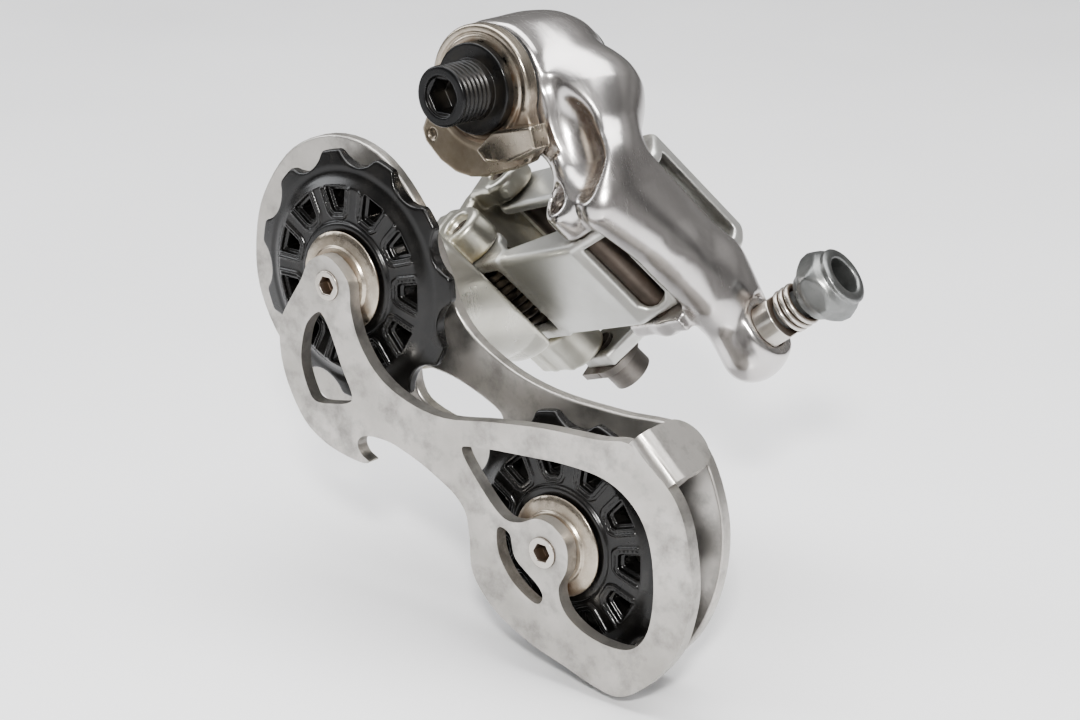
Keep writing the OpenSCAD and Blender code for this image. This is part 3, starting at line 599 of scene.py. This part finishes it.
def slanted_window(q, z0, z1):
    """The window in the inner link's slanted end, round at its lower end."""
    c, s = math.cos(math.radians(-29)), math.sin(math.radians(-29))
    across = (q[:, 0] + 1.8) * c + (q[:, 1] + 2.3) * s
    inward = -(q[:, 0] + 1.8) * s + (q[:, 1] + 2.3) * c
    outline = [(-3.4, z0 + 1.9), (2.0, z0 + 1.9), (2.0, z1 - 3.8), (1.1, z1 - 2.5), (-0.6, z1 - 1.9),
               (-2.2, z1 - 2.2), (-3.4, z1 - 3.6)]
    return prism(np.stack([across, q[:, 2], inward], 1), outline, -4, 4.4, 0.3)


def inner_link_shape(p):
    q = local(p, PINS)
    z0, z1 = LUG_TOP + SIDE_GAP, LUG_BOTTOM - SIDE_GAP
    fork = 2.2
    far_pin = (LINK_LENGTH, 0)
    outline = [(24, -4.1), (24, -0.9), (4, 2.6), (-2.6, 3.6), (-4.2, 2.2), (-5.4, -0.3), (1.8, -4.3)]
    plate = prism(q, outline, z0, z1, 1.3)
    cheek = [(22.5, -4.1), (LINK_LENGTH, -4.1), (LINK_LENGTH, 4.1), (22.5, -1)]
    for low, high in ((z0, z0 + fork), (z1 - fork, z1)):
        eye = join(drum(q, 4.1, low, high, 0.5, far_pin), prism(q, cheek, low, high, 0.5), 0.4)
        plate = join(plate, eye, 0.6)
    plate = carve(plate, slanted_window(q, z0, z1), 0.5)
    plate = carve(plate, drum(q, LINK_BORE, 0, 60, 0.1), 0.2)
    return carve(plate, drum(q, LINK_BORE, 0, 60, 0.1, far_pin), 0.3)


def loop_outline(q, bar_r, end_r):
    """Distance in x and y to the outer link's bar and its wider end round the upper pin."""
    flat = q * np.array([1, 1, 0], np.float32)
    bar = rod(flat, (0, 0, 0), (LINK_LENGTH, 0, 0), bar_r, bar_r)
    return join(bar, np.hypot(q[:, 0] + 1.5, q[:, 1] - 1) - end_r, 1.5)


def outer_link_shape(p):
    q = local(p, PINS) - OUTER_PIN.astype(np.float32)
    z0, z1, wall = OUTER_TOP + SIDE_GAP, OUTER_BOTTOM - SIDE_GAP, 1.9
    axial = np.abs(q[:, 2] - (z0 + z1) / 2) - (z1 - z0) / 2
    body = both(loop_outline(q, 4.5, 6), axial, 1.2)
    body = carve(body, np.maximum(loop_outline(q, 2.6, 4.1), axial + wall), 0.5)
    body = carve(body, np.maximum(q[:, 1] + 0.6, axial + wall), 0.5)
    # Foot that carries the cable anchor past the lower knuckle
    body = join(body, prism(q, [(18, -1), (24, -1), (24, -4), (18, -4)], z1 - 0.4, 36, 0.6), 0.8)
    foot = [(18, -1), (24, -1), (31.5, -8), (31.5, -14.6), (24, -14.6), (18, -4)]
    body = join(body, prism(q, foot, 33.8, 36.6, 0.6), 0.6)
    # Flat round the window in its end, and the window
    body = both(body, -0.78 * (q[:, 0] + 1.5) + 0.62 * (q[:, 1] - 1) - 5.4, 0.6)
    window = [(-0.8, z0 + 2.2), (3.4, z0 + 2.2), (3.8, z0 + 2.8),
              (3.8, z1 - 3.2), (3.4, z1 - 2.6), (-0.8, z1 - 2.6)]
    endwise = np.stack([q[:, 1], q[:, 2], q[:, 0]], 1)
    body = carve(body, prism(endwise, window, -9, -3, 0.3), 0.35)
    body = carve(body, drum(q, LINK_BORE, 0, 60, 0.1), 0.3)
    body = carve(body, drum(q, LINK_BORE, 0, 32, 0.1, (LINK_LENGTH, 0)), 0.3)
    return carve(body, drum(q, LINK_BORE, 30, 40, 0.1, (27.5, -11.2)), 0.3)


# ---- Adjuster, hanger parts and pulleys ----
def adjuster_barrel_shape(p):
    q = local(p, ADJUSTER)
    heights = [8.4, 8.7, 9.4, 10.0, 11.6, 13.0, 14.6, 15.5, 16.2, 16.6]
    radii = [2.5, 3.9, 4.2, 4.5, 6.0, 6.3, 5.5, 4.8, 4.9, 4.5]
    head = both(turned(q, heights, radii), polygon_distance(q, hexagon(6.3)), 0.35)
    head = both(head, np.abs(q[:, 2] - 12.6) - 4.0, 0.5)
    body = join(head, drum(q, 2.5, -3, 10, 0.2), 0.3)
    body = carve(body, drum(q, 3.1, 9.4, 30, 0.2), 0.6)
    return carve(body, drum(q, 1.0, -4, 30, 0.1), 0.2)


def hanger_bolt_shape(p):
    """The hanger bolt: thread of 1 mm pitch below the seat, collar, shank and head."""
    q = upright(p)
    pitch, thread_r, collar_r, shank_r, head_r = 1.0, 5.0, 7.5, 4.5, 6.4
    angle = np.arctan2(q[:, 1], q[:, 0])
    groove = 0.5 - 0.5 * np.cos(2 * math.pi * q[:, 2] / pitch - angle)
    depth = 0.55 * groove * np.clip((q[:, 2] + 7.3) / 0.8, 0, 1) * np.clip((-0.7 - q[:, 2]) / 0.5, 0, 1)
    body = drum(q, thread_r, -7.5, 1, 0.5) + 0.8 * depth
    body = np.minimum(body, drum(q, collar_r, 0, 1.8, 0.3))
    body = np.minimum(body, drum(q, shank_r, 1, 25, 0.2))
    body = np.minimum(body, drum(q, head_r, 24.7, 28.2, 0.6))
    for socket_r, low, high in ((3.0, -9, -3), (3.4, 25.4, 30)):
        body = carve(body, prism(q, hexagon(socket_r), low, high, 0.15), 0.25)
    return carve(body, drum(q, 3.3, -9, -6.9, 0.2), 0.3)


def stop_plate_shape(p):
    q = p[:, [0, 2, 1]]
    low, high = 1.9, 4.5
    lobe = [(0, 0), (-9.9, -2), (-12.7, -8.6), (-12, -10.6), (-8.8, -13.4), (-5.4, -14.9), (-2.2, -15.2),
            (1, -14.7), (4.2, -13.6), (7.4, -12.4), (10.4, -10.8), (12, -8.4), (9.8, -2.4)]
    body = join(drum(q, 10.2, low, high, 0.5), prism(q, lobe, low, high, 0.5), 0.6)
    tab = [(2.2, -9.3), (5.8, -5.8), (13.6, -3.8), (14.6, -7.3), (8.9, -10.4), (4, -11)]
    body = join(body, prism(q, tab, -1.8, 2.3, 0.45), 0.5)
    body = carve(body, drum(q, 4.8, 0, 8, 0.1), 0.2)
    body = carve(body, drum(q, 7.6, -3, low, 0.1), 0.3)
    # Turned groove round the collar, and the dimple in the lobe
    groove = np.hypot(np.hypot(q[:, 0], q[:, 1]) - 8.7, q[:, 2] - 1.8) - 0.32
    body = carve(body, groove, 0.15)
    return carve(body, np.linalg.norm(q - np.array([-10.4, -9.2, 1.5], np.float32), axis=1) - 1.1, 0.3)


def folded(angle, r, turn):
    """x and z within one of the pulley's sectors, the first of them turned by turn degrees."""
    sector = 2 * math.pi / PULLEY_TEETH
    a = np.mod(angle - math.radians(turn) + sector / 2, sector) - sector / 2
    return r * np.cos(a), r * np.sin(a)


def pulley_shape(p):
    """One chain pulley about its own centre: teeth, and as many windows with stepped U-shaped rims."""
    r, angle, y = np.hypot(p[:, 0], p[:, 2]), np.arctan2(p[:, 2], p[:, 0]), np.abs(p[:, 1])
    tip_r, hub_r, bore_r = 20.9, 9.4, 4.95
    x, z = folded(angle, r, 21)
    teeth = both(r - tip_r, -(np.hypot(x - 23.6, z) - 5), 0.5)
    teeth = both(teeth, y - 1.15 + 0.16 * np.maximum(r - 18.4, 0), 0.3)
    rim = both(r - 17.4, 0.72 * (y - 2.3) + 0.5 * np.maximum(r - 15.4, 0), 0.5)
    body = join(teeth, rim, 0.5)
    body = join(body, both(r - hub_r, y - 2.9, 0.4), 0.5)
    x, z = folded(angle, r, 0)
    outline = [(10.9, -1.0), (11.5, -1.5), (15.3, -2.5), (15.3, 2.5), (11.5, 1.5), (10.9, 1.0)]
    window = polygon_distance(np.stack([x, z, y], 1), outline)
    for offset, height in ((0.75, 2.62), (0.05, 2.5)):
        rib = both(np.abs(window - offset) - 0.24, y - height, 0.2)
        body = join(body, both(rib, x - 15.0, 0.2), 0.15)
    body = carve(body, both(window + 0.2, 1.5 - y, 0.1), 0.2)
    body = carve(body, window + 0.75, 0.2)
    body = carve(body, both(r - 8.5, 2.88 - y, 0.1), 0.2)
    return carve(body, r - bore_r, 0.15)


# ---- Building the pieces ----
def organic(node, shape, step):
    """A CAD node remade from its smooth distance function, on a grid a little larger than the node."""
    margin = 1.6
    low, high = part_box(node)
    low = [v / MM - margin for v in low]
    high = [v / MM + margin for v in high]
    add(solid_mesh(node + "_fine", shape, low, high, step), node)


def build_pulleys():
    """Both pulleys are the same moulding."""
    mesh = solid_mesh("pulley_fine", pulley_shape, (-22, -4, -22), (22, 4, 22), 0.22)
    for node, at in (("upper_pulley", UPPER_PULLEY), ("lower_pulley", LOWER_PULLEY)):
        own = mesh.copy()
        own.transform(Matrix.Translation(Vector(at) * MM))
        add(own, node)


def build_cast_parts():
    """Cast and moulded nodes from their distances, each on a grid of its own step in millimetres."""
    for node, shape, step in (
            ("hanger_bolt", hanger_bolt_shape, 0.16),
            ("adjuster_barrel", adjuster_barrel_shape, 0.16),
            ("stop_plate", stop_plate_shape, 0.22),
            ("upper_knuckle", upper_knuckle_shape, 0.3),
            ("lower_knuckle", lower_knuckle_shape, 0.3),
            ("inner_link", inner_link_shape, 0.3),
            ("outer_link", outer_link_shape, 0.3)):
        organic(node, shape, step)


def build_machined_parts():
    """Turned and stamped nodes keep the CAD's shape, with finer edges."""
    for node in ("adjuster_sleeve", "cable_anchor_bolt", "cable_clamp_washer", "limit_screws",
                 "upper_pulley_bolt", "lower_pulley_bolt", "cage_pivot_bolt"):
        refined(node, 0.22)
    for node in ("outer_cage_plate", "inner_cage_plate"):
        refined(node, 0.45, 4)
    for node in ("upper_dust_caps", "lower_dust_caps", "upper_pulley_bushing", "lower_pulley_bushing",
                 "upper_seal", "lower_seal", "upper_bushing", "cage_bushing",
                 "upper_inner_pin", "upper_outer_pin", "lower_inner_pin", "lower_outer_pin"):
        refined(node, 0.12, 2)


def coil_mesh(name, place, r, wire, pitch, turns, z0):
    """A wound spring about +Z of place from z0 up, its wire a little thinner at both ends."""
    steps, sides = 40, 12
    rings = int(turns * steps) + 1
    a = np.arange(rings) * 2 * math.pi / steps
    round_wire = np.arange(sides) * 2 * math.pi / sides
    grow = np.ones(rings)
    grow[[0, -1]] = 0.55
    w = wire * grow[:, None]
    radius = r + w * np.cos(round_wire)[None, :]
    x, y = radius * np.cos(a)[:, None], radius * np.sin(a)[:, None]
    z = z0 + pitch * (a / (2 * math.pi))[:, None] + w * np.sin(round_wire)[None, :]
    points = np.stack([x, y, z], 2).reshape(-1, 3)
    faces = []
    for i in range(rings - 1):
        here, ahead = i * sides, (i + 1) * sides
        for s in range(sides):
            after = (s + 1) % sides
            faces.append([here + s, ahead + s, ahead + after, here + after])
    faces.append(list(range(sides)))
    faces.append([(rings - 1) * sides + s for s in range(sides - 1, -1, -1)])
    mesh = bpy.data.meshes.new(name)
    mesh.from_pydata([(place @ Vector(p)) * MM for p in points.tolist()], [], faces)
    mesh.polygons.foreach_set("use_smooth", [True] * len(mesh.polygons))
    return mesh


def build_springs():
    """Each spring by its place, then its radius, wire radius, pitch, turns and start."""
    at_cage = Matrix.Translation((CAGE_PIVOT[0], -6.2, CAGE_PIVOT[2])) @ ALONG_Y
    for node, place, args in (
            ("upper_spring", Matrix.Translation((0, 6.7, 0)) @ ALONG_Y, (7.6, 0.95, 2.2, 3.2, 0)),
            ("adjuster_spring", ADJUSTER, (3.4, 0.5, 1.15, 3.4, 4)),
            ("return_spring", LOWER_PINS, (3, 0.7, 1.55, 8, 8.9)),
            ("cage_spring", at_cage, (6.95, 0.9, 2.3, 3.6, 0))):
        add(coil_mesh(node + "_fine", place, *args), node)


# ---- Studio ----
def floor_material():
    s = Shade("table")
    s.set("Base Color", s.mix(s.remap(s.noise(3, 3), 0.3, 0.7), (0.90, 0.90, 0.91), (0.86, 0.86, 0.87)))
    s.set("Roughness", s.remap(s.noise(9, 4), 0.3, 0.7, 0.28, 0.36))
    return s.m


def build_floor():
    z = CAD_LOW.z - 0.0006
    mesh = bpy.data.meshes.new("table")
    mesh.from_pydata([(x, y, z) for x, y in ((-4, -4), (4, -4), (4, 4), (-4, 4))], [], [(0, 1, 2, 3)])
    mesh.materials.append(floor_material())
    o = bpy.data.objects.new("table", mesh)
    bpy.context.scene.collection.objects.link(o)


def area_light(name, at, aim, size, power, colour=(1, 1, 1)):
    data = bpy.data.lights.new(name, "AREA")
    data.shape = "RECTANGLE"
    data.size, data.size_y = size
    data.energy = power
    data.color = colour
    o = bpy.data.objects.new(name, data)
    o.location = at
    o.rotation_euler = (Vector(aim) - Vector(at)).to_track_quat("-Z", "Y").to_euler()
    bpy.context.scene.collection.objects.link(o)


def build_lights():
    """A small flash near the camera, a broad ceiling light and a cool window at the side."""
    centre = (0.01, 0.0, -0.035)
    area_light("flash", (0.36, -0.44, 0.30), centre, (0.07, 0.05), 4.2, (1, 0.99, 0.97))
    area_light("ceiling", (0.0, 0.15, 1.0), centre, (1.5, 1.0), 19.0)
    area_light("window", (-0.9, -0.35, 0.55), centre, (0.5, 0.8), 5.0, (0.95, 0.97, 1))


def build_room():
    """The room that polished parts reflect: a pale ramp upwards, with darker and lighter areas."""
    world = bpy.data.worlds.new("room")
    world.use_nodes = True
    nodes, links = world.node_tree.nodes, world.node_tree.links
    coords = nodes.new("ShaderNodeTexCoord")
    up = nodes.new("ShaderNodeSeparateXYZ")
    ramp = nodes.new("ShaderNodeValToRGB")
    links.new(coords.outputs["Generated"], up.inputs[0])
    links.new(up.outputs["Z"], ramp.inputs["Fac"])
    stops = ramp.color_ramp.elements
    stops[0].position, stops[0].color = 0.0, (0.34, 0.33, 0.32, 1)
    stops[1].position, stops[1].color = 0.9, (0.95, 0.96, 0.98, 1)
    for height, tone in ((0.18, 0.62), (0.34, 0.42), (0.55, 0.80)):
        stops.new(height).color = (tone, tone * 0.985, tone * 0.97, 1)
    shapes = nodes.new("ShaderNodeTexNoise")
    shapes.inputs["Scale"].default_value = 1.7
    shapes.inputs["Detail"].default_value = 2.0
    links.new(coords.outputs["Generated"], shapes.inputs["Vector"])
    depth = nodes.new("ShaderNodeMapRange")
    for name, value in (("From Min", 0.40), ("From Max", 0.60), ("To Min", 0.50), ("To Max", 1.0)):
        depth.inputs[name].default_value = value
    links.new(shapes.outputs["Fac"], depth.inputs["Value"])
    shade = nodes.new("ShaderNodeVectorMath")
    shade.operation = "SCALE"
    links.new(ramp.outputs["Color"], shade.inputs[0])
    links.new(depth.outputs[0], shade.inputs["Scale"])
    links.new(shade.outputs[0], nodes["Background"].inputs["Color"])
    nodes["Background"].inputs["Strength"].default_value = 0.62
    bpy.context.scene.world = world


def build_camera():
    data = bpy.data.cameras.new("camera")
    data.lens = 80
    data.sensor_width = 36
    data.clip_start = 0.01
    o = bpy.data.objects.new("camera", data)
    at = Vector((0.24836, -0.28407, 0.08148))
    right = Vector((0.7716, 0.6361, 0)).normalized()
    back = Vector((0.6028, -0.7312, 0.3194)).normalized()
    up = back.cross(right)
    turn = Matrix((right, up, back)).transposed().to_4x4()
    o.matrix_world = Matrix.Translation(at) @ turn
    bpy.context.scene.collection.objects.link(o)
    bpy.context.scene.camera = o


build_cast_parts()
build_pulleys()
build_machined_parts()
build_springs()
build_floor()
build_lights()
build_room()
build_camera()
bpy.context.scene.view_settings.view_transform = "AgX"
bpy.context.scene.view_settings.look = "AgX - Medium High Contrast"
